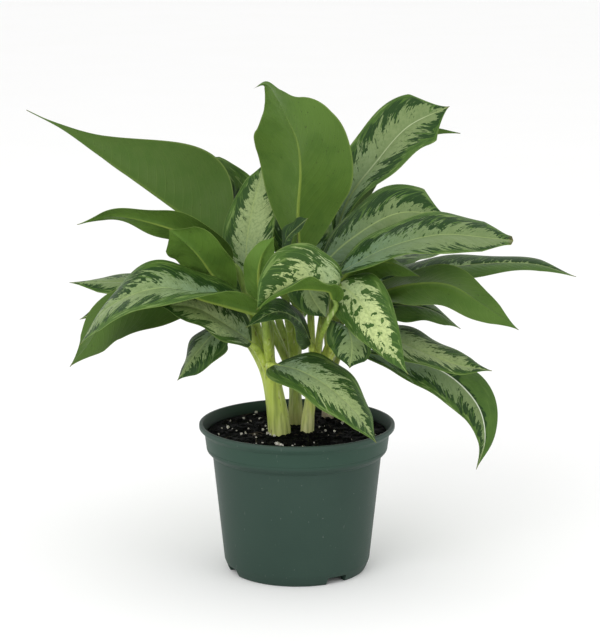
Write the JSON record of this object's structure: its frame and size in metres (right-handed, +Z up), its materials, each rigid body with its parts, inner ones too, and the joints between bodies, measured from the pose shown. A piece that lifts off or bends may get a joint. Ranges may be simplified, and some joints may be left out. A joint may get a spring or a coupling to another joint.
{
  "type": "potted foliage plant",
  "caption": "Potted Chinese evergreen: broad silver-variegated leaves on fleshy stalks over a dark green grower's pot filled with soil.",
  "frame": {"origin": "centre of the plant's bounding box in plan, on the plane that the pot's foot stands on", "axes": "+X across the plant's widest spread, +Y from the pictured front to the back, +Z up along the pot's axis"},
  "size_m": [0.4714, 0.2618, 0.4213],
  "materials": {
    "pot": "satin moulded polypropylene, dark grey-green, faint turning lines",
    "soil": "moist dark peat crumbs with white perlite grains",
    "stalk": "fleshy yellow-green petioles, cream at the foot, satin",
    "leaf_variegated": "silver-green blade with dark green feathered margins, satin gloss",
    "leaf_plain": "plain mid-green underside with a pale midrib, satin"
  },
  "bodies": {
    "root": {"pot": "pot", "soil": "soil", "shoot_front_left": "stalk", "shoot_back": "stalk", "shoot_front_right": "stalk", "shoot_right": "stalk", "leaf_left_high": "leaf_plain", "leaf_left_mid": "leaf_plain", "leaf_left_young": "leaf_plain", "leaf_left_arch": "leaf_variegated", "leaf_left_silver": "leaf_variegated", "leaf_left_droop": "leaf_plain", "leaf_left_back": "leaf_variegated", "leaf_left_dark": "leaf_variegated", "leaf_left_hanging": "leaf_variegated", "leaf_top_left": "leaf_variegated", "leaf_top_centre": "leaf_plain", "leaf_top_right": "leaf_variegated", "leaf_right_back": "leaf_plain", "leaf_right_high": "leaf_variegated", "leaf_right_long": "leaf_variegated", "leaf_right_edge": "leaf_variegated", "leaf_right_olive": "leaf_plain", "leaf_right_small": "leaf_variegated", "leaf_front_right": "leaf_variegated", "leaf_front_centre": "leaf_variegated", "leaf_young_fold": "leaf_plain", "leaf_small_dark": "leaf_variegated", "leaf_inner_silver": "leaf_variegated", "leaf_inner_dark": "leaf_variegated", "leaf_front_low": "leaf_variegated", "leaf_front_short": "leaf_variegated", "leaf_right_low": "leaf_variegated", "leaf_right_hanging": "leaf_variegated", "leaf_inner_right": "leaf_variegated", "leaf_right_inner_high": "leaf_plain", "leaf_back_left": "leaf_variegated", "leaf_back_high": "leaf_variegated", "leaf_back_right": "leaf_variegated", "leaf_back_low_right": "leaf_variegated", "leaf_back_low_left": "leaf_variegated", "leaf_back_side_left": "leaf_variegated", "leaf_back_hanging": "leaf_variegated"}
  },
  "joints": []
}
